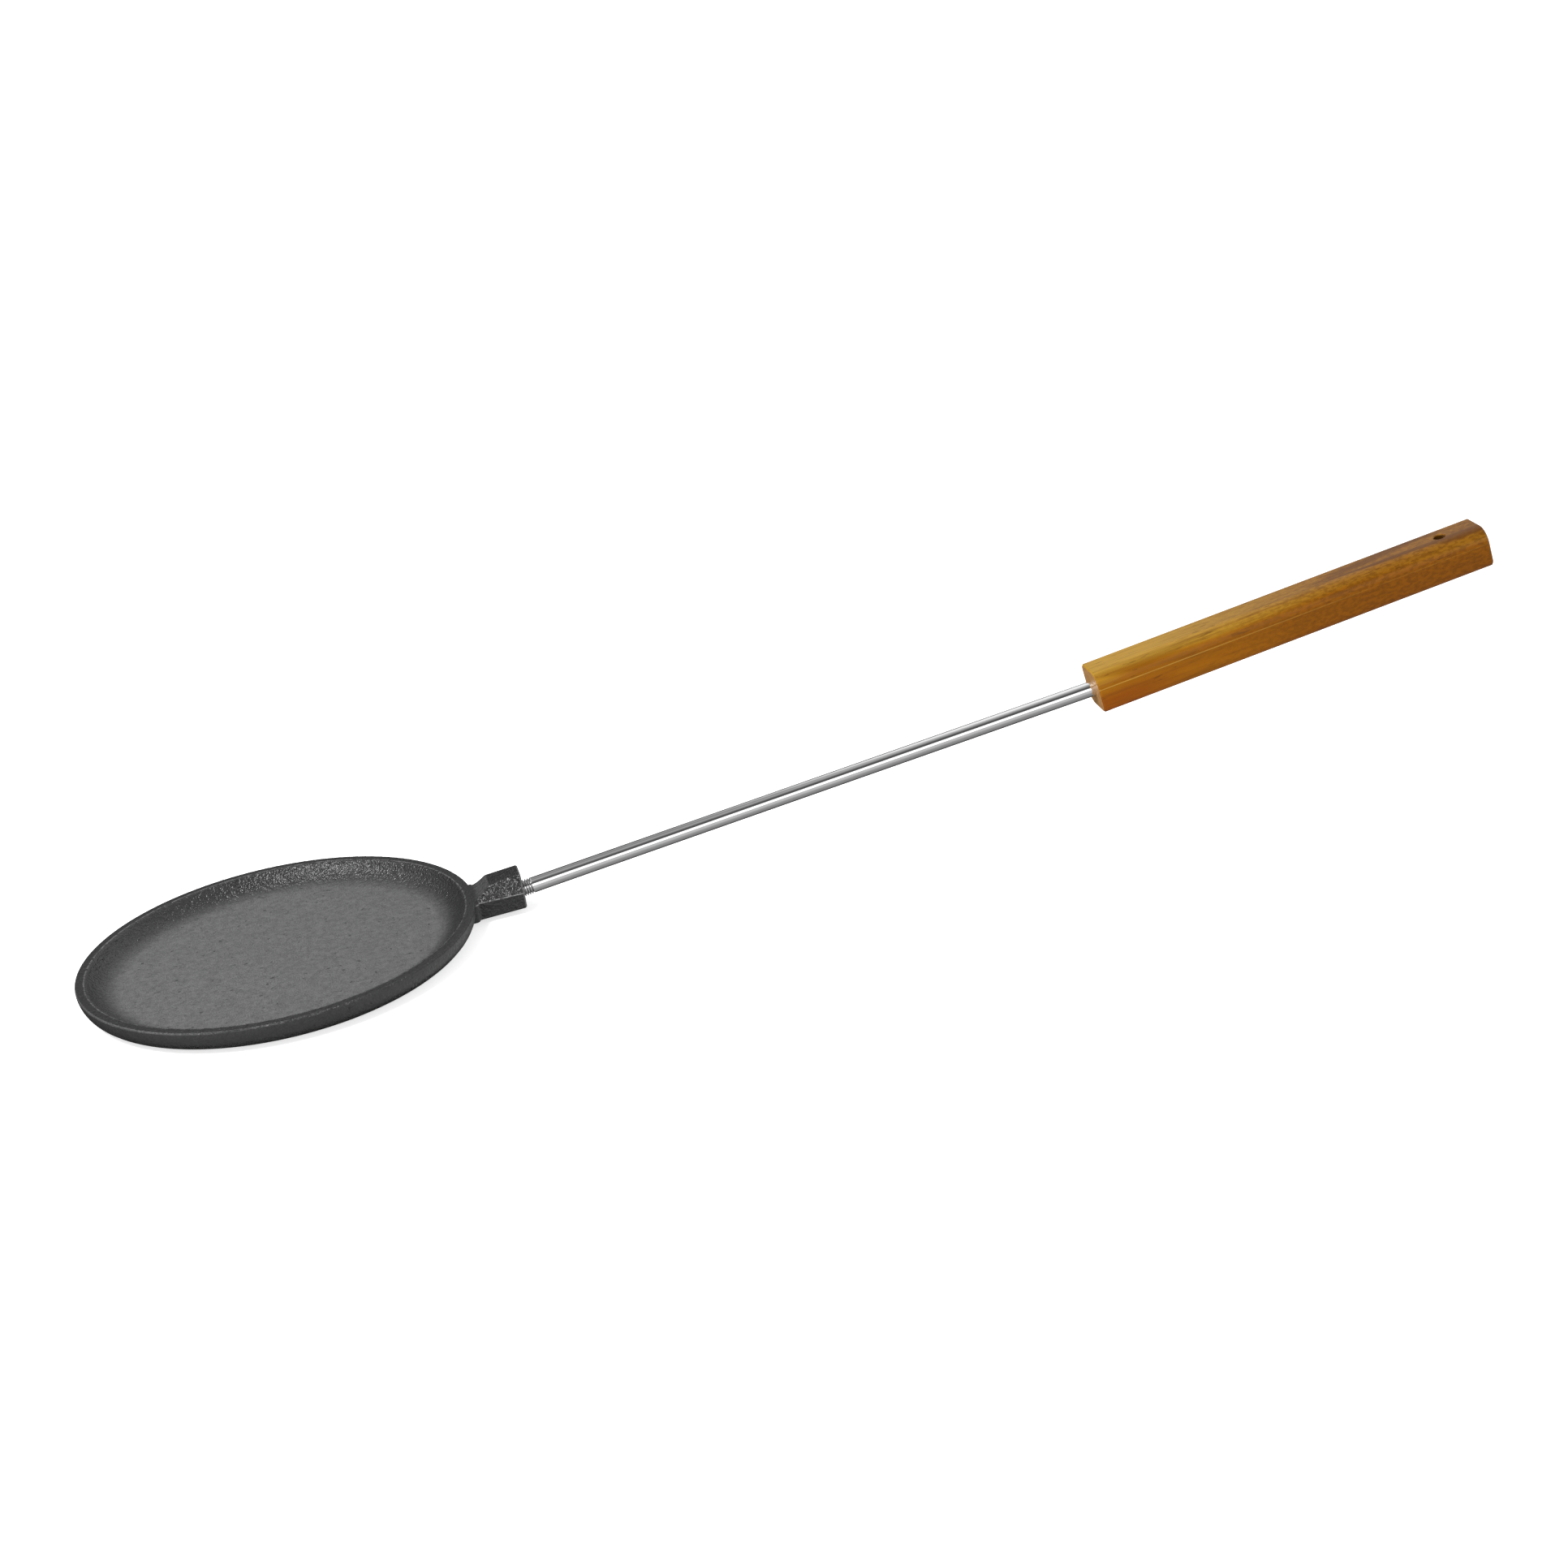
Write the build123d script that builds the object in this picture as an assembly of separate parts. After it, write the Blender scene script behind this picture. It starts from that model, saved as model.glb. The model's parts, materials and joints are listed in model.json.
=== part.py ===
"""Pancake iron: a shallow cast iron pan with a cast socket, a plated steel rod screwed
into the socket and a wooden grip on the rod's far end.

Millimetres and degrees. The origin is the centre of the pan's underside, +X runs out
along the handle, +Z is up and the pan stands on Z = 0. The handle is drawn in its own
frame: local z runs out along the rod, local x is the object's +Y and local y points up,
square to the rod. Distances along the rod are counted from the pan's edge.
"""

import os
from math import cos, radians, sin, sqrt, tan

from build123d import *

# Pan
PAN_RADIUS = 100.0
PAN_HEIGHT = 13.0
FLOOR_THICKNESS = 4.0
FLOOR_RADIUS = 79.0
RIM_WIDTH = 5.5
RIM_INNER_ROUND = 2.2
RIM_OUTER_ROUND = 1.0
PARTING_HEIGHT = 11.5

# Handle line
HANDLE_RISE = 6.9
AXIS_HEIGHT_AT_EDGE = 6.7

# Socket, cast in two drafted halves that meet at the parting height
SOCKET_REACH = 24.5
SOCKET_WIDTH = 22.0
SOCKET_TOP_ABOVE_AXIS = 10.9
SOCKET_UPPER_DRAFT = 26.0
SOCKET_LOWER_DRAFT = 5.0
SOCKET_FOOT_HEIGHT = 1.9
SOCKET_FOOT_RISE = 2.5
SOCKET_FLARE = 2.8
SOCKET_BITE = 0.6
SOCKET_ROOT = 6.5
SOCKET_ROUND = 1.2
SHOULDER_TOP_AT = 7.6
SHOULDER_WAIST_AT = 3.5
SHOULDER_WAIST_HEIGHT = 15.1
SHOULDER_FOOT_AT = -2.1
CROWN_ROUND = 4.0

# Screwed joint
THREAD_DIAMETER = 7.8
THREAD_ENGAGED = 14.0
THREAD_EXPOSED = 5.3
THREAD_CLEARANCE = 0.05
TAPPED_HOLE_SPARE = 2.0
TAPPED_HOLE_CHAMFER = 0.8

# Rod
ROD_DIAMETER = 8.0
ROD_EXPOSED = 304.5
ROD_IN_GRIP = 80.0
ROD_END_CHAMFER = 0.8

# Grip, bored a little askew, so that it rises more steeply than the rod
GRIP_LENGTH = 220.0
GRIP_WIDTH = 24.5
GRIP_HEIGHT = 21.5
GRIP_EXTRA_RISE = 1.5
GRIP_LARGE_ROUND = 8.5
GRIP_SMALL_ROUND = 3.5
GRIP_END_BEVEL = 0.7
GRIP_BORE_CLEARANCE = 0.05
GRIP_BORE_SPARE = 1.5
HANG_HOLE_DIAMETER = 6.0
HANG_HOLE_FROM_END = 21.5
HANG_HOLE_CHAMFER = 0.5

# How close to a face a point counts as lying on it
NEAR = 0.01

# Distances along the rod to the socket's upright end, the bar and the grip
SOCKET_END = SOCKET_REACH / cos(radians(HANDLE_RISE))
THREAD_END = SOCKET_END + THREAD_EXPOSED
GRIP_START = THREAD_END + ROD_EXPOSED


def handle_plane(distance, extra_rise=0.0):
    """The plane square to the rod, this far out from the pan's edge, or tilted a little."""
    rise = radians(HANDLE_RISE)
    steeper = radians(HANDLE_RISE + extra_rise)
    edge = Vector(PAN_RADIUS, 0, AXIS_HEIGHT_AT_EDGE)
    origin = edge + Vector(cos(rise), 0, sin(rise)) * distance
    return Plane(origin=origin, x_dir=(0, 1, 0), z_dir=(cos(steeper), 0, sin(steeper)))


def along_rod(start, length, diameter):
    """A round bar on the rod's axis."""
    return extrude(handle_plane(start) * Circle(diameter / 2), amount=length)


def drilled(face, diameter, depth, mouth):
    """What a drill and then a countersink take out below a face, whose normal points out."""
    bore = extrude(face * Circle(diameter / 2), amount=-depth)
    sink = extrude(face.offset(-mouth) * Circle(diameter / 2), amount=2 * mouth, taper=-45)
    return bore + sink


def edges_where(shape, holds):
    """The edges whose every vertex passes a test on its place."""
    return shape.edges().filter_by(
        lambda edge: all(holds(Vector(vertex)) for vertex in edge.vertices())
    )


def pan():
    """The pan: a floor that sweeps up to a rounded rim and a wall that curves down to the
    base."""
    base = PAN_RADIUS - PARTING_HEIGHT
    wall_top = (PAN_RADIUS, PARTING_HEIGHT)
    rim_edges = (PAN_RADIUS, PAN_HEIGHT), (PAN_RADIUS - RIM_WIDTH, PAN_HEIGHT)
    depth = PAN_HEIGHT - FLOOR_THICKNESS
    reach = PAN_RADIUS - RIM_WIDTH - FLOOR_RADIUS
    sweep = (reach**2 + depth**2) / (2 * depth)
    climb = sweep - sqrt(sweep**2 - (reach / 2) ** 2)
    halfway = (FLOOR_RADIUS + reach / 2, FLOOR_THICKNESS + climb)
    floor_edge = (FLOOR_RADIUS, FLOOR_THICKNESS)
    with BuildSketch() as section:
        with BuildLine():
            Line((0, 0), (base, 0))
            RadiusArc((base, 0), wall_top, -PARTING_HEIGHT)
            Polyline(wall_top, *rim_edges)
            ThreePointArc(rim_edges[1], halfway, floor_edge)
            Polyline(floor_edge, (0, FLOOR_THICKNESS), (0, 0))
        make_face()
        for place, radius in zip(rim_edges, (RIM_OUTER_ROUND, RIM_INNER_ROUND)):
            fillet(section.vertices().sort_by_distance(Vector(*place))[0], radius)
    return revolve(Plane.XZ * section.sketch, axis=Axis.Z)


def socket_outline():
    """Plan of the socket at the parting height, flared where it runs into the pan."""
    side = SOCKET_WIDTH / 2
    wall = PAN_RADIUS - SOCKET_BITE
    flare_y = side + SOCKET_FLARE
    flare_x = sqrt((wall + SOCKET_FLARE) ** 2 - flare_y**2)
    share = wall / (wall + SOCKET_FLARE)
    root_x, root_y = flare_x * share, flare_y * share
    inner = PAN_RADIUS - SOCKET_ROOT
    past_end = PAN_RADIUS + SOCKET_REACH + SOCKET_TOP_ABOVE_AXIS
    with BuildLine(Plane.XY.offset(PARTING_HEIGHT)) as line:
        Line((inner, -root_y), (root_x, -root_y))
        RadiusArc((root_x, -root_y), (flare_x, -side), -SOCKET_FLARE)
        Polyline((flare_x, -side), (past_end, -side), (past_end, side), (flare_x, side))
        RadiusArc((flare_x, side), (root_x, root_y), -SOCKET_FLARE)
        Polyline((root_x, root_y), (inner, root_y), (inner, -root_y))
    return make_face(line.wires())


def top_height(out):
    """The height over the ground of the socket's top, this far out from the pan's edge."""
    rise = radians(HANDLE_RISE)
    return AXIS_HEIGHT_AT_EDGE + out * tan(rise) + SOCKET_TOP_ABOVE_AXIS / cos(rise)


def foot_height(out):
    """The height over the ground of the socket's underside."""
    return SOCKET_FOOT_HEIGHT + out * tan(radians(SOCKET_FOOT_RISE))


def socket_side(crown_round=0.0):
    """The socket from the side: underside, end, top and the hollowed shoulder by the rim."""
    shoulder_top = (SHOULDER_TOP_AT, top_height(SHOULDER_TOP_AT))
    waist = (SHOULDER_WAIST_AT, SHOULDER_WAIST_HEIGHT)
    shoulder_foot = (SHOULDER_FOOT_AT, PAN_HEIGHT)
    edge = Plane(origin=(PAN_RADIUS, 0, 0), x_dir=(1, 0, 0), z_dir=(0, -1, 0))
    with BuildSketch() as side:
        with BuildLine():
            Polyline(
                shoulder_foot,
                (-RIM_WIDTH / 2, PAN_HEIGHT),
                (-SOCKET_ROOT, foot_height(-SOCKET_ROOT)),
                (SOCKET_REACH, foot_height(SOCKET_REACH)),
                (SOCKET_REACH, top_height(SOCKET_REACH)),
                shoulder_top,
            )
            ThreePointArc(shoulder_top, waist, shoulder_foot)
        make_face()
        if crown_round:
            crown = side.vertices().sort_by_distance(Vector(*shoulder_top))[0]
            fillet(crown, crown_round)
    return extrude(edge * side.sketch, amount=PAN_RADIUS, both=True)


def socket():
    """The socket before it is drilled. Its edges are rounded first, its crown after them."""
    plan = socket_outline()
    above = top_height(SOCKET_REACH) + SOCKET_ROUND - PARTING_HEIGHT
    upper = extrude(plan, amount=above, taper=SOCKET_UPPER_DRAFT)
    lower = extrude(plan, amount=PARTING_HEIGHT, taper=SOCKET_LOWER_DRAFT)
    lower = mirror(lower, about=Plane.XY.offset(PARTING_HEIGHT))
    body = (upper + lower) & socket_side()

    def on_top(at):
        return abs(at.Z - top_height(at.X - PAN_RADIUS)) < NEAR

    def on_end(at):
        return abs(at.X - PAN_RADIUS - SOCKET_REACH) < NEAR

    def runs_along(edge):
        return abs(edge.tangent_at(0.5).X) > 0.5

    def on_foot(at):
        out = at.X - PAN_RADIUS
        return out > NEAR - SOCKET_BITE and abs(at.Z - foot_height(out)) < NEAR

    edges = edges_where(body, on_end)
    edges += edges_where(body, on_top).filter_by(runs_along)
    edges += [edge for edge in edges_where(body, on_foot) if edge not in edges]
    return fillet(edges, SOCKET_ROUND) & socket_side(CROWN_ROUND)


def pan_casting():
    """Pan and socket, cast in one piece, with the tapped hole for the rod."""
    mouth = handle_plane(SOCKET_END)
    width = THREAD_DIAMETER + 2 * THREAD_CLEARANCE
    depth = THREAD_ENGAGED + TAPPED_HOLE_SPARE
    return pan() + socket() - drilled(mouth, width, depth, TAPPED_HOLE_CHAMFER)


def rod():
    """The round rod, turned down at the pan's end to the size of its thread."""
    thread_start = SOCKET_END - THREAD_ENGAGED
    thread = along_rod(thread_start, THREAD_END - thread_start, THREAD_DIAMETER)
    thread = chamfer(thread.edges().sort_by(Axis.X)[0], ROD_END_CHAMFER)
    bar = along_rod(THREAD_END, ROD_EXPOSED + ROD_IN_GRIP, ROD_DIAMETER)
    bar = chamfer(bar.edges().sort_by(Axis.X)[-1], ROD_END_CHAMFER)
    return thread + bar


def grip_section():
    """The grip's section: two opposite long edges are rounded far more than the others."""
    with BuildSketch() as section:
        Rectangle(GRIP_WIDTH, GRIP_HEIGHT)
        fillet([v for v in section.vertices() if v.X * v.Y > 0], GRIP_SMALL_ROUND)
        fillet([v for v in section.vertices() if v.X * v.Y < 0], GRIP_LARGE_ROUND)
    return section.sketch


def grip():
    """The wooden grip, bored for the rod and drilled through to hang it by."""
    start = handle_plane(GRIP_START, GRIP_EXTRA_RISE)
    body = extrude(start * grip_section(), amount=GRIP_LENGTH)
    end_faces = body.faces().filter_by(lambda face: abs(face.normal_at().X) > 0.5)
    body = chamfer(end_faces.edges(), GRIP_END_BEVEL)
    bore_length = ROD_IN_GRIP + 2 * GRIP_BORE_SPARE
    bore_width = ROD_DIAMETER + 2 * GRIP_BORE_CLEARANCE
    body -= along_rod(GRIP_START - GRIP_BORE_SPARE, bore_length, bore_width)
    hole = start.offset(GRIP_LENGTH - HANG_HOLE_FROM_END)
    for side in (1, -1):
        normal = start.y_dir * side
        origin = hole.origin + normal * (GRIP_HEIGHT / 2)
        face = Plane(origin=origin, x_dir=start.x_dir, z_dir=normal)
        body -= drilled(face, HANG_HOLE_DIAMETER, GRIP_HEIGHT / 2, HANG_HOLE_CHAMFER)
    return body


os.makedirs("parts", exist_ok=True)
for piece in (pan_casting, rod, grip):
    export_step(piece(), f"parts/{piece.__name__}.step")
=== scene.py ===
"""The looks of the pancake iron: cast iron pan, plated rod with its thread, wooden grip.

The pan casting and the grip keep their CAD shapes and get procedural materials. The plain
rod is replaced by a smooth bar and a cut thread, which ride on the rod's body. All is in
metres, in the part's own frame: +X runs out along the handle, +Z is up, and the camera
looks along +Y.
"""

import json
import math
from types import SimpleNamespace

import bpy
from mathutils import Matrix, Vector


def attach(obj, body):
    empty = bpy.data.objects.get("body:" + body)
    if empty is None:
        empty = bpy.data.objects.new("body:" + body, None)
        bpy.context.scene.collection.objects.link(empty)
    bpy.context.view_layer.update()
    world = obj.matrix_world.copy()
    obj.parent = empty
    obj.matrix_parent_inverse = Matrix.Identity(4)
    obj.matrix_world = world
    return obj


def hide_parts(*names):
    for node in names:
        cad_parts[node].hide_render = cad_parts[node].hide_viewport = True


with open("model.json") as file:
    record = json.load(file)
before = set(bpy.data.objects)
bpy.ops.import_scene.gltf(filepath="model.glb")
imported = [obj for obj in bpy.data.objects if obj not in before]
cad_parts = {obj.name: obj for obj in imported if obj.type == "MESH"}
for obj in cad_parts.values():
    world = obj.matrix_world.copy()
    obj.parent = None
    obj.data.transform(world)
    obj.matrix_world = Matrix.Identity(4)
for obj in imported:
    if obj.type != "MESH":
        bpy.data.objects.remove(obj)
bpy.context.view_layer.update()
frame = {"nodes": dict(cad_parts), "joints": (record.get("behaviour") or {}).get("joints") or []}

MM = 0.001

# The photograph's camera
CAMERA_YAW = math.radians(9.448)
CAMERA_PITCH = math.radians(21.29)
CAMERA_ROLL = math.radians(-9.409)
CAMERA_TARGET = Vector((0.2648, 0.0, 0.0333))
CAMERA_DISTANCE = 1.45
CAMERA_LENS = 65.585
CAMERA_SENSOR = 36.0

# The handle's line, as in the frame, and the grip's own steeper line
HANDLE_JOINT = next(joint for joint in frame["joints"] if joint["name"] == "handle_turn")
ROD_AXIS = Vector(HANDLE_JOINT["axis"]).normalized()
ROD_UP = Vector((-ROD_AXIS.z, 0.0, ROD_AXIS.x))
PAN_EDGE = Vector(HANDLE_JOINT["pos_m"])
GRIP_RISE = math.radians(8.4)
GRIP_AXIS = Vector((math.cos(GRIP_RISE), 0.0, math.sin(GRIP_RISE)))
GRIP_UP = Vector((-GRIP_AXIS.z, 0.0, GRIP_AXIS.x))

# The grip's near end: how far along its own line, and how high its middle lies over it
GRIP_START = PAN_EDGE + ROD_AXIS * 334.5 * MM
GRIP_FROM = GRIP_START.dot(GRIP_AXIS)
GRIP_MIDDLE = GRIP_START.dot(GRIP_UP)
HANGING_HOLE = Vector((0.628427, 0.0, 0.075881))
HANGING_HOLE_RADIUS = 3 * MM

# Where the wood changes: along the grip's line, and above its middle
GRIP_FAR_FADE = (GRIP_FROM + 10 * MM, GRIP_FROM + 165 * MM)
# Painted shade: where the darker, redder underside by the rod fades along the grip, and the
# depths below the middle over which it comes in
GRIP_LOW_SHADE_FADE = (GRIP_FROM + 10 * MM, GRIP_FROM + 60 * MM)
GRIP_LOW_SHADE_DEPTHS = (-2 * MM, 3 * MM)
# Painted light: the heights above the middle over which the top turns golden, and how far the
# grain waves that edge
GRIP_TOP_LIGHT_HEIGHTS = (4 * MM, 9 * MM)
GRIP_TOP_LIGHT_WAVE = 12 * MM
# Where the painted crease highlight runs above the middle, and how wide
GRIP_CREASE_HEIGHT = 2.4 * MM
GRIP_CREASE_WIDTH = 0.5 * MM

# Pan
PAN_RADIUS = 100 * MM
FLOOR_HEIGHT = 4 * MM
RIM_HEIGHT = 13 * MM
RIM_INNER_CREST = PAN_RADIUS - 4.6 * MM
RIM_CREST_WIDTH = 0.6 * MM
PARTING_HEIGHT = 11.5 * MM
PARTING_WIDTH = 0.45 * MM

# Distances from the pan's middle, and for the socket along X, over which one look fades
# into the next
FLOOR_FADE = (78 * MM, 90 * MM)
RIM_FADE = (95 * MM, 96.5 * MM)
WALL_FADE = (97.5 * MM, 99 * MM)
SOCKET_FADE = (PAN_RADIUS, PAN_RADIUS + 2 * MM)

# Rod and its thread, as distances along the rod from the pan's edge
THREAD_START = 11 * MM
SOCKET_END = 24.7 * MM
THREAD_END = 30 * MM
ROD_END = 414.5 * MM
ROD_RADIUS = 4 * MM
ROD_CHAMFER = 0.8 * MM
ROD_SIDES = 96

# The bar's near end, which starts inside the thread and swells to the full radius past it
BAR_START = THREAD_END - 0.3 * MM
BAR_START_RADIUS = ROD_RADIUS - 0.45 * MM
BAR_FULL = THREAD_END + 0.15 * MM

# The thread stands out a little where it shows, and clears the plain hole where it doesn't
PITCH = 1.25 * MM
THREAD_ROOT = 3.35 * MM
THREAD_CREST = 4.2 * MM
THREAD_CREST_IN_HOLE = 3.93 * MM
THREAD_CREST_GROWTH = 0.5 * PITCH
THREAD_STEPS_PER_TURN = 24
THREAD_SIDES = 48

# One pitch of the thread's profile: share of the pitch, height from root to crest
THREAD_PROFILE = ((0.0, 0.0), (0.12, 0.0), (0.38, 1.0), (0.64, 1.0), (0.90, 0.0), (1.0, 0.0))

SHARP_EDGE = math.radians(35)

# Iron's colours, each as its darkest and lightest speck
IRON_SKIN = ((0.017, 0.017, 0.0172), (0.027, 0.027, 0.0275))
IRON_FLOOR = ((0.055, 0.055, 0.0555), (0.135, 0.135, 0.136))
IRON_WALL = ((0.026, 0.026, 0.0262), (0.034, 0.034, 0.0342))
# Painted light: the socket's shoulder, facing back over the pan, made paler as if lit
IRON_SHOULDER_PAINTED_LIGHT = ((0.045, 0.045, 0.0455), (0.07, 0.07, 0.0705))
IRON_FLOOR_CLOUD = (0.075, 0.075, 0.0755)
# Painted shade, laid on the up-facing top of the rim and the socket and on the socket's cheek
IRON_SOCKET_PAINTED_SHADE = (0.009, 0.009, 0.0092)
# Painted highlight: on the crest and parting line (partly rubbed wear too), the socket's cheek
# and lip
IRON_PAINTED_HIGHLIGHT = (0.26, 0.26, 0.265)
IRON_PIT = (0.015, 0.015, 0.015)

# Iron's roughness by area, and how strongly its grain stands out
COVE_ROUGHNESS = 0.26
FLOOR_ROUGHNESS = 0.60
RIM_ROUGHNESS = 0.48
WALL_ROUGHNESS = 0.42
ROUGHNESS_SPREAD = 0.5
COVE_GRAIN = 1.3
FLOOR_GRAIN = 0.45
WALL_GRAIN = 0.45

# Plating, with its drawing lines to the metre along and across the bar
PLATING = ((0.80, 0.80, 0.81), (0.88, 0.88, 0.88))
PLATING_LINES = (60.0, 2200.0, 2200.0)
# Painted shade in the thread's grooves
THREAD_ROOT_PAINTED_SHADE = (0.05, 0.05, 0.05)

# The grip's wood
WOOD_BROAD = ((0.30, 0.092, 0.001), (0.42, 0.168, 0.003))
WOOD_FIGURE = (0.30, 0.105, 0.002)
# Painted light: the golden top of the grip
WOOD_PAINTED_TOP_LIGHT = (0.46, 0.275, 0.032)
# Painted shade: the darker, redder underside by the rod
WOOD_PAINTED_LOW_SHADE = (0.24, 0.045, 0.001)
WOOD_FAR_END = (0.21, 0.060, 0.001)
WOOD_CURL = (0.11, 0.035, 0.002)
WOOD_FIBRE = (0.15, 0.045, 0.003)
WOOD_PORE = (0.07, 0.02, 0.003)
WOOD_STREAK = (0.10, 0.03, 0.004)
# Painted highlight along the front crease
WOOD_PAINTED_CREASE_HIGHLIGHT = (0.62, 0.36, 0.07)
WOOD_ENDS = ((0.33, 0.165, 0.055), (0.46, 0.26, 0.105))
# Painted shade inside the hanging hole
WOOD_HOLE_PAINTED_SHADE = (0.045, 0.014, 0.002)
WOOD_SHEEN_TINT = (1.0, 0.62, 0.15)
VARNISH_TINT = (1.0, 0.80, 0.45)

# The light room, as brightness by angle in degrees: 0 is level in front of the object,
# 90 straight above it, 180 level behind it and -90 straight below
ROOM_LIGHT = (
    (-180, 0.05),
    (-119, 0.03),
    (-93, 0.19),
    (-57, 0.31),
    (-43, 0.34),
    (-17, 0.62),
    (-4, 0.55),
    (8, 0.75),
    (36, 0.45),
    (40, 0.12),
    (55, 0.07),
    (67, 0.17),
    (93, 0.50),
    (108, 0.88),
    (127, 1.10),
    (141, 1.00),
    (152, 0.30),
    (172, 0.15),
)

# The room's panels: the angle each is centred on, how far it fades to either side, how far
# a direction points along X (for the left panel along -X) where the panel starts and where
# it is whole, and its brightness
LEFT_PANEL_ANGLE = math.radians(95)
LEFT_PANEL_REACH = math.radians(85)
LEFT_PANEL_FROM = (0.12, 0.25)
LEFT_PANEL_LEVEL = 1.1
BACK_PANEL_ANGLE = math.radians(155)
BACK_PANEL_REACH = math.radians(18)
BACK_PANEL_FROM = (0.08, 0.16)
BACK_PANEL_LEVEL = 0.8
RIGHT_PANEL_FROM = (0.42, 0.60)
RIGHT_PANEL_LEVEL = 0.8

# The room's back left is dimmed: this comes in over these angles, and goes out over these
# directions along X
BACK_LEFT_ANGLES = (math.radians(85), math.radians(105))
BACK_LEFT_UNTIL = (-0.03, 0.08)
BACK_LEFT_DIMMING = 0.7

# Lamps
SOFTBOX_ELEVATION = math.radians(21)
SOFTBOX_DISTANCE = 2.0
SOFTBOX_SIZE = (4.0, 1.05)
SOFTBOX_POWER = 13.0
PAN_LAMP_PLACE = Vector((-0.50, -0.27, 1.05))
PAN_LAMP_SIZE = (0.45, 0.45)
PAN_LAMP_POWER = 14.0

# The floor it stands on, lifted to white for the camera
GROUND_COLOUR = (0.80, 0.80, 0.80)
GROUND_REACH = 60.0
GROUND_LIFT = 0.65

WHITE = (1.0, 1.0, 1.0, 1.0)


class Tree:
    """Adds nodes to a material's or world's tree with their inputs set or linked."""

    def __init__(self, owner):
        owner.use_nodes = True
        self.tree = owner.node_tree
        self.tree.nodes.clear()

    def add(self, kind, inputs=None, **settings):
        """A new node of this kind."""
        node = self.tree.nodes.new(kind)
        for name, value in settings.items():
            setattr(node, name, value)
        for name, value in (inputs or {}).items():
            self.put(node.inputs[name], value)
        return node

    def put(self, socket, value):
        """Links another node's output to a socket, or sets it to a plain value."""
        if isinstance(value, bpy.types.NodeSocket):
            self.tree.links.new(value, socket)
        else:
            socket.default_value = value

    def math(self, operation, first, second=0.0, third=0.0):
        inputs = {0: first, 1: second, 2: third}
        return self.add("ShaderNodeMath", inputs, operation=operation).outputs[0]

    def vector_math(self, operation, first, second=None):
        inputs = {0: first} if second is None else {0: first, 1: second}
        return self.add("ShaderNodeVectorMath", inputs, operation=operation).outputs

    def length(self, vector):
        return self.vector_math("LENGTH", vector)["Value"]

    def split(self, vector):
        """A vector's parts, to be taken as X, Y and Z."""
        return self.add("ShaderNodeSeparateXYZ", {0: vector}).outputs

    def map(self, vector, **settings):
        """A vector scaled or turned."""
        return self.add("ShaderNodeMapping", {"Vector": vector, **settings}).outputs[0]

    def product(self, *factors):
        whole = factors[0]
        for factor in factors[1:]:
            whole = self.math("MULTIPLY", whole, factor)
        return whole

    def brightest(self, *values):
        """The highest of some values."""
        top = values[0]
        for value in values[1:]:
            top = self.math("MAXIMUM", top, value)
        return top

    def negative(self, value):
        return self.math("MULTIPLY", value, -1.0)

    def rest(self, value):
        """What is left of 1."""
        return self.math("SUBTRACT", 1.0, value)

    def ramp(self, value, low, high, smooth=True):
        """0 below low, 1 above high."""
        kind = "SMOOTHSTEP" if smooth else "LINEAR"
        inputs = {"Value": value, "From Min": low, "From Max": high}
        return self.add("ShaderNodeMapRange", inputs, interpolation_type=kind).outputs[0]

    def near(self, value, middle, reach):
        """1 where the value is at the middle, falling to 0 this far either side."""
        away = self.math("ABSOLUTE", self.math("SUBTRACT", value, middle))
        return self.rest(self.ramp(away, 0.0, reach))

    def mix(self, factor, first, second):
        """A colour between two others."""
        node = self.add("ShaderNodeMix", data_type="RGBA")
        for name, value in (("Factor", factor), ("A", first), ("B", second)):
            kind = "Float" if name == "Factor" else "Color"
            socket = next(s for s in node.inputs if s.identifier == f"{name}_{kind}")
            self.put(socket, colour(value) if isinstance(value, tuple) else value)
        return next(s for s in node.outputs if s.identifier == "Result_Color")

    def blend(self, factor, first, second):
        """A plain number between two others."""
        node = self.add("ShaderNodeMix", data_type="FLOAT")
        for name, value in (("Factor", factor), ("A", first), ("B", second)):
            socket = next(s for s in node.inputs if s.identifier == f"{name}_Float")
            self.put(socket, value)
        return node.outputs[0]

    def noise(self, vector, scale, detail=2.0, roughness=0.5, distortion=0.0):
        inputs = {
            "Vector": vector,
            "Scale": scale,
            "Detail": detail,
            "Roughness": roughness,
            "Distortion": distortion,
        }
        return self.add("ShaderNodeTexNoise", inputs).outputs["Fac"]

    def bump(self, height, distance, strength=1.0, normal=None):
        inputs = {"Height": height, "Distance": distance, "Strength": strength}
        if normal is not None:
            inputs["Normal"] = normal
        return self.add("ShaderNodeBump", inputs).outputs["Normal"]


def colour(rgb):
    return (*rgb, 1.0)


def new_material(name):
    material = bpy.data.materials.new(name)
    tree = Tree(material)
    output = tree.add("ShaderNodeOutputMaterial")
    shader = tree.add("ShaderNodeBsdfPrincipled")
    tree.put(output.inputs["Surface"], shader.outputs[0])
    return material, tree, shader


def iron_grain(tree, place):
    """The casting's grain, from fine to broad, its sand pits, and the worm-like pattern of
    its painted glints.
    """
    return SimpleNamespace(
        fine=tree.noise(place, scale=1500, detail=1.5),
        middle=tree.noise(place, scale=900, detail=1.5),
        coarse=tree.noise(place, scale=380),
        cloud=tree.noise(place, scale=30, detail=3),
        pits=tree.ramp(tree.noise(place, scale=330, detail=1, roughness=0.4), 0.70, 0.78),
        worms=tree.ramp(tree.noise(place, scale=900, distortion=1.2), 0.56, 0.64),
    )


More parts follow.
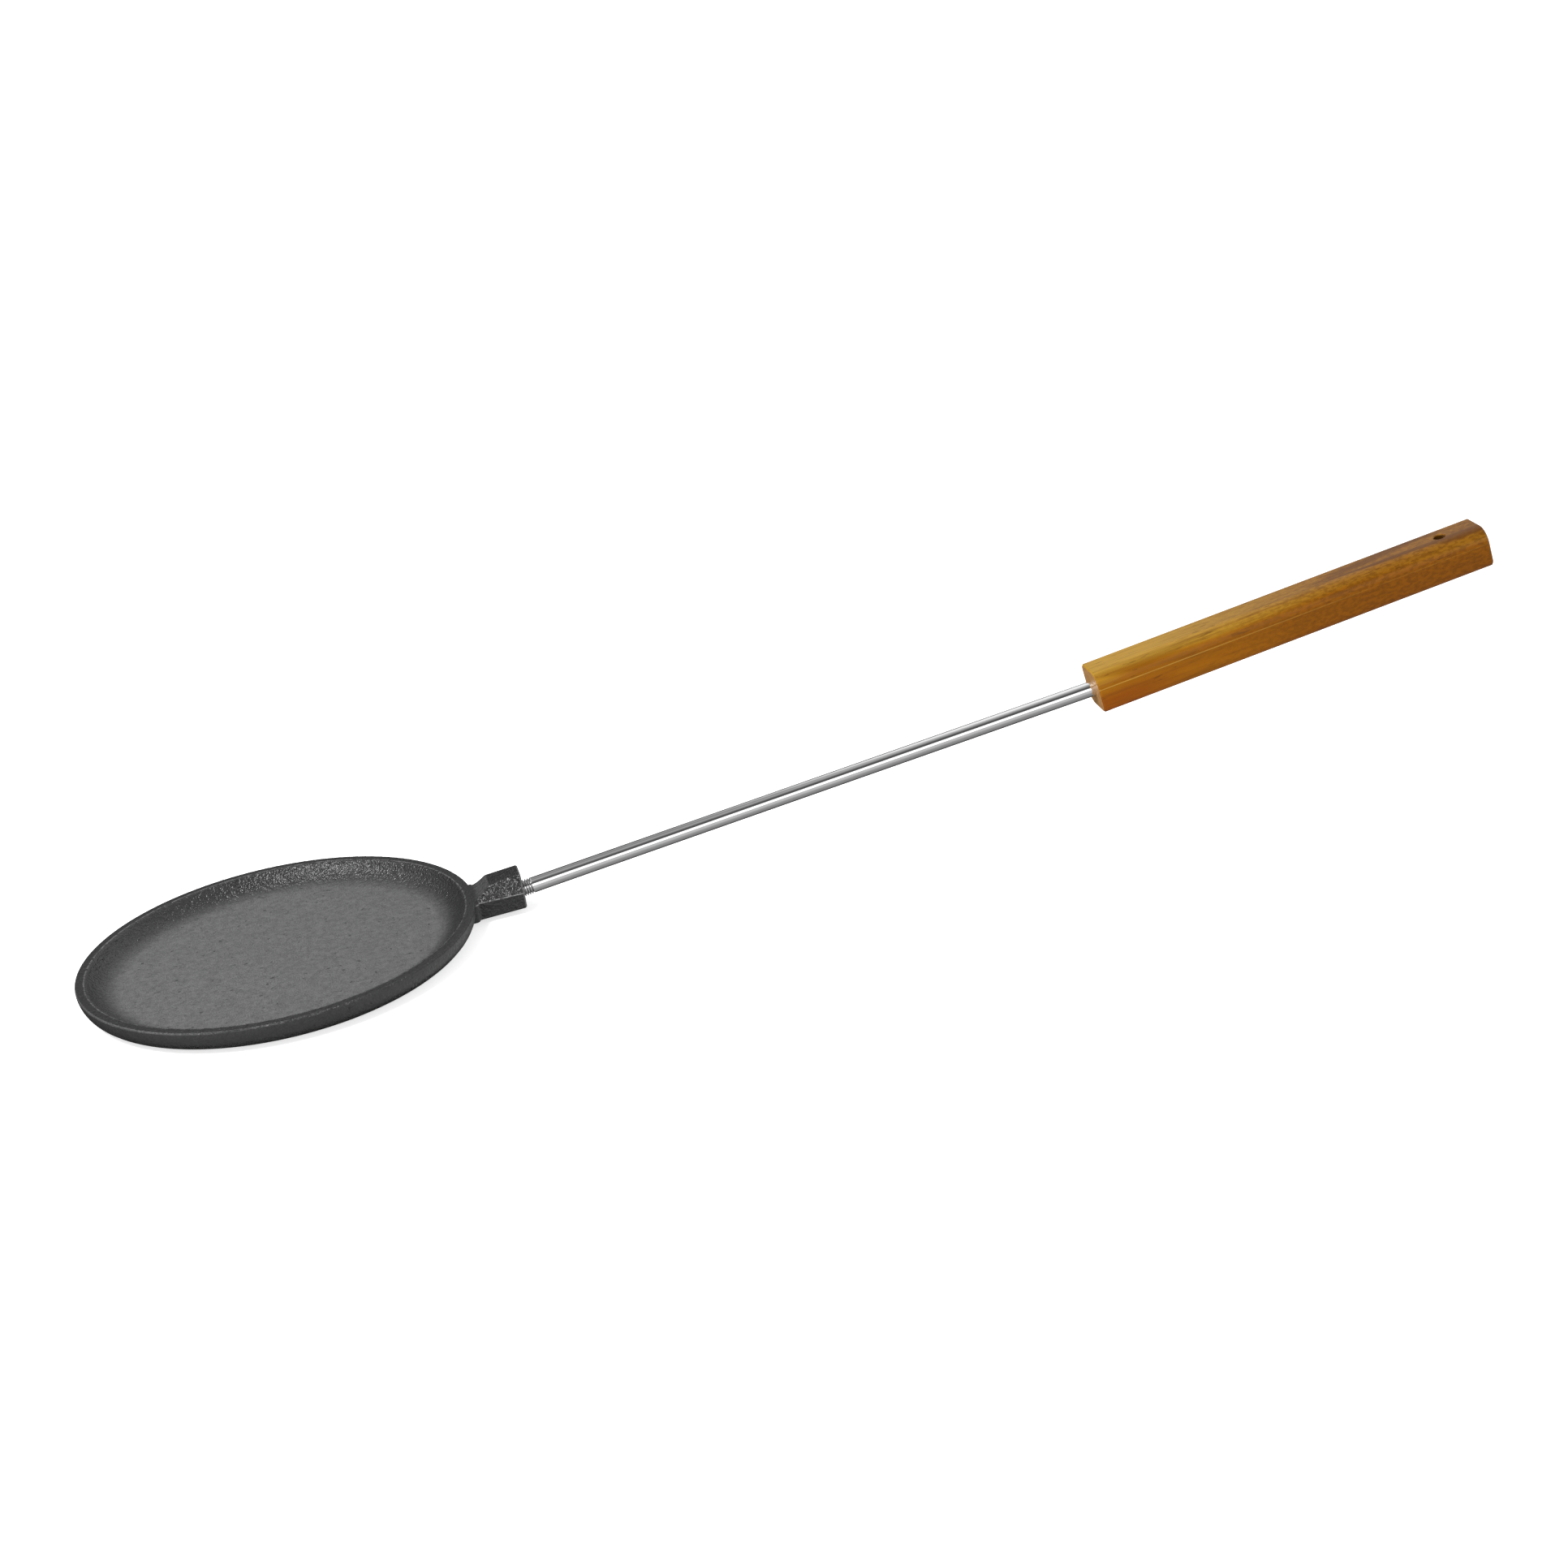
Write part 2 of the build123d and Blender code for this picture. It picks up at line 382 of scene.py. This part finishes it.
def iron_areas(tree, place, facing):
    """Where the casting's areas lie, each 1 on the area and 0 off it."""
    x, y, z = tree.split(place)
    flat = tree.add("ShaderNodeCombineXYZ", {"X": x, "Y": y}).outputs[0]
    radius = tree.length(flat)

    high = tree.math("GREATER_THAN", z, RIM_HEIGHT - 1 * MM)
    below_rim = tree.math("LESS_THAN", z, RIM_HEIGHT - 2 * MM)
    above_base = tree.math("GREATER_THAN", z, FLOOR_HEIGHT - 1 * MM)
    centre = tree.rest(tree.ramp(radius, *FLOOR_FADE))
    socket = tree.ramp(x, *SOCKET_FADE)
    outside = tree.math("SUBTRACT", tree.ramp(radius, *WALL_FADE), high)
    rim = tree.product(high, tree.ramp(radius, *RIM_FADE))
    parting = tree.near(z, PARTING_HEIGHT, PARTING_WIDTH)
    return SimpleNamespace(
        floor=tree.product(below_rim, above_base, centre),
        wall=tree.product(outside, tree.rest(socket)),
        crest=tree.product(tree.near(radius, RIM_INNER_CREST, RIM_CREST_WIDTH), high),
        flat_rim=tree.math("SUBTRACT", rim, tree.product(socket, rim)),
        parting=tree.product(parting, tree.math("GREATER_THAN", x, PAN_RADIUS - 1 * MM)),
        socket_top=tree.product(rim, tree.ramp(facing["Z"], 0.85, 0.95)),
        socket_cheek=tree.product(
            socket,
            tree.ramp(tree.negative(facing["Y"]), 0.7, 0.85),
            tree.ramp(facing["Z"], 0.25, 0.35),
        ),
        socket_shoulder=tree.product(rim, tree.ramp(tree.negative(facing["X"]), 0.25, 0.5)),
        socket_lip=tree.product(socket, tree.ramp(facing["X"], 0.2, 0.5)),
    )


def iron_painted_highlights(tree, grain, areas):
    """Where the iron is painted pale: highlights on the crest and the parting line, partly
    rubbed wear too, glints on the socket's cheek and a highlight on the socket's lip.
    """
    edge_highlight = tree.brightest(tree.product(areas.crest, 0.4), areas.parting)
    return tree.brightest(
        tree.product(edge_highlight, tree.ramp(grain.coarse, 0.30, 0.65)),
        tree.product(areas.socket_cheek, grain.worms, 0.7),
        tree.product(areas.socket_lip, 0.35),
    )


def iron_colour(tree, grain, areas):
    """Near black, with a paler floor, dark pits, painted light on the socket's shoulder,
    painted shade on the up-facing rim and socket top and the socket's cheek, and painted
    highlights.
    """
    speck = tree.ramp(tree.blend(0.35, grain.fine, grain.coarse), 0.38, 0.62, smooth=False)
    floor = tree.mix(speck, *IRON_FLOOR)
    floor = tree.mix(tree.product(grain.cloud, 0.45), floor, IRON_FLOOR_CLOUD)
    base = tree.mix(areas.floor, tree.mix(speck, *IRON_SKIN), floor)
    base = tree.mix(areas.wall, base, tree.mix(speck, *IRON_WALL))
    # Painted shade: darkens the up-facing top of the rim and the socket and the socket's cheek
    painted_shade = tree.product(tree.brightest(areas.socket_top, areas.socket_cheek), 0.7)
    base = tree.mix(painted_shade, base, IRON_SOCKET_PAINTED_SHADE)
    # Painted light on the socket's shoulder
    base = tree.mix(areas.socket_shoulder, base, tree.mix(speck, *IRON_SHOULDER_PAINTED_LIGHT))
    # Painted highlights on the crest, the parting line and the socket's cheek and lip
    base = tree.mix(iron_painted_highlights(tree, grain, areas), base, IRON_PAINTED_HIGHLIGHT)
    return tree.mix(tree.product(grain.pits, 0.7), base, IRON_PIT)


def iron_roughness(tree, grain, areas):
    """Glossy on the cove and the socket, duller on the rim, the wall and the floor."""
    rough = tree.blend(areas.floor, COVE_ROUGHNESS, FLOOR_ROUGHNESS)
    rough = tree.blend(areas.flat_rim, rough, RIM_ROUGHNESS)
    rough = tree.blend(areas.wall, rough, WALL_ROUGHNESS)
    uneven = tree.product(tree.math("SUBTRACT", grain.middle, 0.5), ROUGHNESS_SPREAD)
    return tree.math("ADD", rough, uneven)


def iron_normal(tree, grain, areas):
    """Sand grain, deepest on the cove and the socket, and pits."""
    strength = tree.blend(areas.floor, COVE_GRAIN, FLOOR_GRAIN)
    strength = tree.blend(areas.wall, strength, WALL_GRAIN)
    normal = tree.bump(grain.middle, 0.5 * MM, strength)
    normal = tree.bump(grain.coarse, 0.6 * MM, strength, normal)
    return tree.bump(grain.pits, -0.2 * MM, 0.8, normal)


def iron_material():
    """Sand-cast iron: near black, with a paler cooking floor, glinting grain, and painted
    shade, light and highlights on the rim and the socket.
    """
    material, tree, shader = new_material("cast_iron")
    texture = tree.add("ShaderNodeTexCoord")
    place = texture.outputs["Object"]
    grain = iron_grain(tree, place)
    areas = iron_areas(tree, place, tree.split(texture.outputs["Normal"]))
    tree.put(shader.inputs["Base Color"], iron_colour(tree, grain, areas))
    tree.put(shader.inputs["Roughness"], iron_roughness(tree, grain, areas))
    tree.put(shader.inputs["Normal"], iron_normal(tree, grain, areas))
    shader.inputs["Specular IOR Level"].default_value = 0.45
    return material


def plated_material(name, roughness, line_depth, root_shade=0.0):
    """Bright plating with faint drawing lines along the bar and a little haze, and with
    painted shade in the grooves of a thread."""
    material, tree, shader = new_material(name)
    place = tree.add("ShaderNodeTexCoord").outputs["Object"]
    slope = (0.0, math.asin(ROD_AXIS.z), 0.0)
    drawn = tree.map(place, Scale=PLATING_LINES, Rotation=slope)
    lines = tree.noise(drawn, scale=1.0)
    haze = tree.noise(place, scale=90, detail=3, roughness=0.55)

    from_edge = tree.vector_math("SUBTRACT", place, PAN_EDGE)[0]
    across = tree.vector_math("CROSS_PRODUCT", from_edge, ROD_AXIS)[0]
    groove = tree.rest(tree.ramp(tree.length(across), THREAD_ROOT, THREAD_CREST))
    base = tree.mix(haze, *PLATING)
    # Painted shade in the thread's grooves, by distance from the axis
    base = tree.mix(tree.product(groove, root_shade), base, THREAD_ROOT_PAINTED_SHADE)
    tree.put(shader.inputs["Base Color"], base)
    shader.inputs["Metallic"].default_value = 1.0
    tree.put(shader.inputs["Roughness"], tree.math("MULTIPLY_ADD", haze, 0.06, roughness))
    tree.put(shader.inputs["Normal"], tree.bump(lines, line_depth, 0.3))
    return material


def wood_place(tree):
    """Where a point lies on the grip, with X along it, and which way its surface faces."""
    texture = tree.add("ShaderNodeTexCoord")
    turned = tree.map(texture.outputs["Object"], Rotation=(0, GRIP_RISE, 0))
    facing = tree.map(texture.outputs["Normal"], Rotation=(0, GRIP_RISE, 0))
    x, y, z = tree.split(turned)
    return SimpleNamespace(
        turned=turned,
        x=x,
        y=y,
        height=tree.math("SUBTRACT", z, GRIP_MIDDLE),
        far=tree.ramp(x, *GRIP_FAR_FADE),
        facing=tree.split(facing),
    )


def wood_grain(tree, place):
    """Fibres, pores, dark streaks, broad bands and curly figure, drawn out along the grip."""

    def drawn_out(stretch, **settings):
        along = tree.map(place.turned, Scale=(1.0 / stretch, 1.0, 1.0))
        return tree.noise(along, **settings)

    streaks = drawn_out(14, scale=130, detail=3, distortion=0.5)
    return SimpleNamespace(
        broad=drawn_out(10, scale=60, distortion=0.5),
        figure=drawn_out(18, scale=210, detail=4, roughness=0.6, distortion=0.6),
        fibre=drawn_out(28, scale=1000, detail=3, roughness=0.6),
        pores=tree.ramp(drawn_out(9, scale=900), 0.62, 0.70),
        streaks=tree.ramp(streaks, 0.55, 0.68),
        curl=tree.ramp(drawn_out(2, scale=650), 0.42, 0.60),
        breaks=tree.ramp(drawn_out(3, scale=90), 0.30, 0.60),
    )


def wood_crease_highlight(tree, place, grain):
    """A painted highlight: the broken pale line along the front, where two planed faces meet."""
    line = tree.near(place.height, GRIP_CREASE_HEIGHT, GRIP_CREASE_WIDTH)
    front = tree.math("LESS_THAN", place.facing["Y"], -0.5)
    return tree.product(line, front, grain.breaks, tree.blend(place.far, 1.0, 0.2))


def in_hanging_hole(tree, place):
    """1 inside the hanging hole."""
    along = tree.math("SUBTRACT", place.x, HANGING_HOLE.dot(GRIP_AXIS))
    away = tree.add("ShaderNodeCombineXYZ", {"X": along, "Y": place.y}).outputs[0]
    return tree.math("LESS_THAN", tree.length(away), HANGING_HOLE_RADIUS + 0.1 * MM)


def wood_tone(tree, place, grain):
    """Orange-brown: painted light makes the top golden, painted shade makes it red low down
    by the rod, and it is darker towards the far end.
    """
    base = tree.mix(tree.ramp(grain.broad, 0.3, 0.7), *WOOD_BROAD)
    base = tree.mix(tree.ramp(grain.figure, 0.35, 0.65), base, WOOD_FIGURE)
    wave = tree.math("SUBTRACT", grain.broad, 0.5)
    wavy_height = tree.math("MULTIPLY_ADD", wave, GRIP_TOP_LIGHT_WAVE, place.height)
    # Painted light: the top of the grip turns golden
    top_light = tree.ramp(wavy_height, *GRIP_TOP_LIGHT_HEIGHTS)
    base = tree.mix(tree.product(top_light, 0.9), base, WOOD_PAINTED_TOP_LIGHT)
    # Painted shade: the underside by the rod is darker and redder
    low = tree.ramp(tree.negative(place.height), *GRIP_LOW_SHADE_DEPTHS)
    beyond = tree.ramp(place.x, *GRIP_LOW_SHADE_FADE)
    base = tree.mix(tree.product(low, tree.rest(beyond), 0.7), base, WOOD_PAINTED_LOW_SHADE)
    return tree.mix(tree.product(place.far, 0.7), base, WOOD_FAR_END)


def wood_colour(tree, place, grain, crease_highlight):
    """The tone with its curls, fibres, pores and streaks, a painted highlight on the crease,
    sawn ends, and painted shade in the hanging hole.
    """
    base = wood_tone(tree, place, grain)
    base = tree.mix(tree.product(grain.curl, place.far, 0.5), base, WOOD_CURL)
    base = tree.mix(tree.product(tree.ramp(grain.fibre, 0.45, 0.7), 0.4), base, WOOD_FIBRE)
    base = tree.mix(tree.product(grain.pores, 0.5), base, WOOD_PORE)
    streaks = tree.product(grain.streaks, tree.blend(place.far, 0.3, 0.8))
    base = tree.mix(streaks, base, WOOD_STREAK)
    # Painted highlight along the front crease
    base = tree.mix(tree.product(crease_highlight, 0.55), base, WOOD_PAINTED_CREASE_HIGHLIGHT)

    rings = tree.noise(place.turned, scale=1100, detail=3, roughness=0.6, distortion=0.4)
    sawn = tree.ramp(tree.math("ABSOLUTE", place.facing["X"]), 0.75, 0.95)
    base = tree.mix(sawn, base, tree.mix(tree.ramp(rings, 0.3, 0.7), *WOOD_ENDS))
    # Painted shade inside the hanging hole
    return tree.mix(tree.product(in_hanging_hole(tree, place), 0.8), base, WOOD_HOLE_PAINTED_SHADE)


def wood_material():
    """Orange-brown wood under gloss varnish."""
    material, tree, shader = new_material("varnished_wood")
    place = wood_place(tree)
    grain = wood_grain(tree, place)
    crease_highlight = wood_crease_highlight(tree, place, grain)
    tree.put(shader.inputs["Base Color"], wood_colour(tree, place, grain, crease_highlight))
    tree.put(shader.inputs["Roughness"], tree.math("MULTIPLY_ADD", grain.fibre, 0.2, 0.34))
    shader.inputs["Specular IOR Level"].default_value = 0.3
    shader.inputs["Specular Tint"].default_value = colour(WOOD_SHEEN_TINT)
    shader.inputs["Coat Weight"].default_value = 0.15
    shader.inputs["Coat Roughness"].default_value = 0.16
    shader.inputs["Coat Tint"].default_value = colour(VARNISH_TINT)
    normal = tree.bump(grain.fibre, 0.06 * MM, 0.4)
    normal = tree.bump(grain.pores, -0.08 * MM, 0.5, normal)
    normal = tree.bump(crease_highlight, 0.10 * MM, 0.6, normal)
    tree.put(shader.inputs["Normal"], normal)
    return material


def dress(node, material):
    """Puts a material on a CAD node and leaves its shape alone."""
    materials = frame["nodes"][node].data.materials
    materials.clear()
    materials.append(material)


def add_to_scene(name, data):
    piece = bpy.data.objects.new(name, data)
    bpy.context.scene.collection.objects.link(piece)
    return piece


def ringed_mesh(name, rings, material):
    """A closed surface through rings of points, each ring with the same number of points."""
    count = len(rings[0])
    points = [point for ring in rings for point in ring]
    faces = []
    for ring in range(len(rings) - 1):
        low = ring * count
        high = low + count
        for step in range(count):
            after = (step + 1) % count
            faces.append((low + step, low + after, high + after, high + step))
    faces.append(tuple(reversed(range(count))))
    faces.append(tuple(range(len(points) - count, len(points))))
    mesh = bpy.data.meshes.new(name)
    mesh.from_pydata(points, [], faces)
    mesh.polygons.foreach_set("use_smooth", [True] * len(mesh.polygons))
    mesh.set_sharp_from_angle(angle=SHARP_EDGE)
    mesh.materials.append(material)
    return add_to_scene(name, mesh)


def rod_ring(distance, radius_at, count):
    """Points round the rod's axis; radius_at takes the angle, as a right-hand screw turns."""
    centre = PAN_EDGE + ROD_AXIS * distance
    ring = []
    for step in range(count):
        angle = 2 * math.pi * step / count
        side = Vector((0, 1, 0)) * math.cos(angle) + ROD_UP * math.sin(angle)
        ring.append(centre + side * radius_at(angle))
    return ring


def plated_bar(material):
    """The plain stretch of the rod: eased where it meets the thread, chamfered at its end."""
    profile = [
        (BAR_START, BAR_START_RADIUS),
        (BAR_FULL, ROD_RADIUS),
        (ROD_END - ROD_CHAMFER, ROD_RADIUS),
        (ROD_END, ROD_RADIUS - ROD_CHAMFER),
    ]
    rings = []
    for distance, radius in profile:
        rings.append(rod_ring(distance, lambda angle: radius, ROD_SIDES))
    return ringed_mesh("plated_bar", rings, material)


def thread_height(turns):
    """How far up the thread's flank a point is, 0 at the root and 1 at the crest."""
    phase = turns % 1.0
    for (start, low), (end, high) in zip(THREAD_PROFILE, THREAD_PROFILE[1:]):
        if phase < end:
            return low + (high - low) * (phase - start) / (end - start)
    return 0.0


def thread_depth(distance):
    """How deep the thread is cut at a distance: it runs in over one pitch at its start, and
    grows from its crest in the hole to its crest in the open just outside the socket."""
    lead_in = min(1.0, (distance - THREAD_START) / PITCH)
    shown = min(1.0, max(0.0, (distance - SOCKET_END) / THREAD_CREST_GROWTH))
    crest = THREAD_CREST_IN_HOLE + (THREAD_CREST - THREAD_CREST_IN_HOLE) * shown
    return (crest - THREAD_ROOT) * lead_in


def rod_thread(material):
    """The rolled thread, right-handed, running out into the bar."""
    length = THREAD_END - THREAD_START
    steps = round(length / PITCH * THREAD_STEPS_PER_TURN)
    rings = []
    for step in range(steps + 1):
        distance = THREAD_START + length * step / steps
        depth = thread_depth(distance)

        def radius_at(angle):
            turns = distance / PITCH - angle / (2 * math.pi)
            return THREAD_ROOT + depth * thread_height(turns)

        rings.append(rod_ring(distance, radius_at, THREAD_SIDES))
    return ringed_mesh("rod_thread", rings, material)


def light_by_angle(tree, angle):
    """The room's brightness from the table, by angle round the X axis."""
    whole = {"Value": angle, "From Min": -math.pi, "From Max": math.pi}
    turn = tree.add("ShaderNodeMapRange", whole).outputs[0]
    ramp = tree.add("ShaderNodeValToRGB", {0: turn})
    band = ramp.color_ramp
    while len(band.elements) < len(ROOM_LIGHT):
        band.elements.new(0.5)
    for element, (degrees, level) in zip(band.elements, ROOM_LIGHT):
        element.position = degrees / 360 + 0.5
        element.color = (level, level, level, 1.0)
    return ramp.outputs[0]


def room_light(tree):
    """How bright the room is in each direction, with its dimmed corner and its panels."""
    x, y, z = tree.split(tree.add("ShaderNodeTexCoord").outputs["Generated"])
    angle = tree.math("ARCTAN2", z, tree.negative(y))
    dimmed = tree.product(
        tree.ramp(angle, *BACK_LEFT_ANGLES),
        tree.rest(tree.ramp(x, *BACK_LEFT_UNTIL)),
        BACK_LEFT_DIMMING,
    )
    left = tree.product(
        tree.near(angle, LEFT_PANEL_ANGLE, LEFT_PANEL_REACH),
        tree.ramp(tree.negative(x), *LEFT_PANEL_FROM),
        LEFT_PANEL_LEVEL,
    )
    back = tree.product(
        tree.near(angle, BACK_PANEL_ANGLE, BACK_PANEL_REACH),
        tree.ramp(x, *BACK_PANEL_FROM),
        BACK_PANEL_LEVEL,
    )
    right = tree.product(tree.ramp(x, *RIGHT_PANEL_FROM), RIGHT_PANEL_LEVEL)
    level = tree.product(light_by_angle(tree, angle), tree.rest(dimmed))
    return tree.brightest(level, left, back, right)


def room():
    """The light room as the world. The camera sees it plain white."""
    world = bpy.data.worlds.new("studio")
    bpy.context.scene.world = world
    tree = Tree(world)
    output = tree.add("ShaderNodeOutputWorld")
    lit = tree.add("ShaderNodeBackground", {"Color": WHITE, "Strength": room_light(tree)})
    seen = tree.add("ShaderNodeBackground", {"Color": WHITE, "Strength": 1.0})
    ray = tree.add("ShaderNodeLightPath").outputs["Is Camera Ray"]
    choice = tree.add("ShaderNodeMixShader", {0: ray, 1: lit.outputs[0], 2: seen.outputs[0]})
    tree.put(output.inputs["Surface"], choice.outputs[0])


def lamp(name, target, away, size, power):
    """A flat lamp that stands off its target by this much and faces it."""
    data = bpy.data.lights.new(name, "AREA")
    data.shape = "RECTANGLE"
    data.size, data.size_y = size
    data.energy = power
    light = add_to_scene(name, data)
    light.location = target + away
    light.rotation_mode = "QUATERNION"
    light.rotation_quaternion = (-away).to_track_quat("-Z", "Y")


def lamps():
    """A wide softbox in front of the whole object and a small lamp over the pan."""
    front = Vector((0, -math.cos(SOFTBOX_ELEVATION), math.sin(SOFTBOX_ELEVATION)))
    away = front * SOFTBOX_DISTANCE
    lamp("front_softbox", CAMERA_TARGET, away, SOFTBOX_SIZE, SOFTBOX_POWER)
    lamp("pan_lamp", Vector(), PAN_LAMP_PLACE, PAN_LAMP_SIZE, PAN_LAMP_POWER)


def floor():
    """A pale floor that reads as white where no shadow falls."""
    material, tree, shader = new_material("floor")
    shader.inputs["Base Color"].default_value = colour(GROUND_COLOUR)
    shader.inputs["Roughness"].default_value = 0.9
    shader.inputs["Specular IOR Level"].default_value = 0.0
    shader.inputs["Emission Color"].default_value = WHITE
    ray = tree.add("ShaderNodeLightPath").outputs["Is Camera Ray"]
    tree.put(shader.inputs["Emission Strength"], tree.product(ray, GROUND_LIFT))
    corners = [(-1, -1, 0), (1, -1, 0), (1, 1, 0), (-1, 1, 0)]
    mesh = bpy.data.meshes.new("floor")
    mesh.from_pydata([Vector(corner) * GROUND_REACH for corner in corners], [], [(0, 1, 2, 3)])
    mesh.materials.append(material)
    piece = add_to_scene("floor", mesh)
    piece.visible_glossy = False


def camera():
    """The photograph's view: turned a little to the right, looking down, and tilted."""
    level = Vector((math.cos(CAMERA_YAW), -math.sin(CAMERA_YAW), 0.0))
    ahead = Vector((math.sin(CAMERA_YAW), math.cos(CAMERA_YAW), 0.0))
    look = ahead * math.cos(CAMERA_PITCH) - Vector((0, 0, 1)) * math.sin(CAMERA_PITCH)
    upright = level.cross(look)
    right = level * math.cos(CAMERA_ROLL) + upright * math.sin(CAMERA_ROLL)
    up = upright * math.cos(CAMERA_ROLL) - level * math.sin(CAMERA_ROLL)
    data = bpy.data.cameras.new("camera")
    data.sensor_width = CAMERA_SENSOR
    data.lens = CAMERA_LENS
    eye = add_to_scene("camera", data)
    turn = Matrix((right, up, -look)).transposed().to_4x4()
    eye.matrix_world = Matrix.Translation(CAMERA_TARGET - look * CAMERA_DISTANCE) @ turn
    bpy.context.scene.camera = eye


bpy.context.scene.view_settings.view_transform = "Standard"
camera()
room()
lamps()
floor()

dress("pan_casting", iron_material())
dress("grip", wood_material())

bar = plated_bar(plated_material("plated_steel", 0.07, 0.004 * MM))
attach(bar, "rod")
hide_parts("rod")

thread = rod_thread(plated_material("plated_thread", 0.12, 0.01 * MM, root_shade=0.5))
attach(thread, "rod")
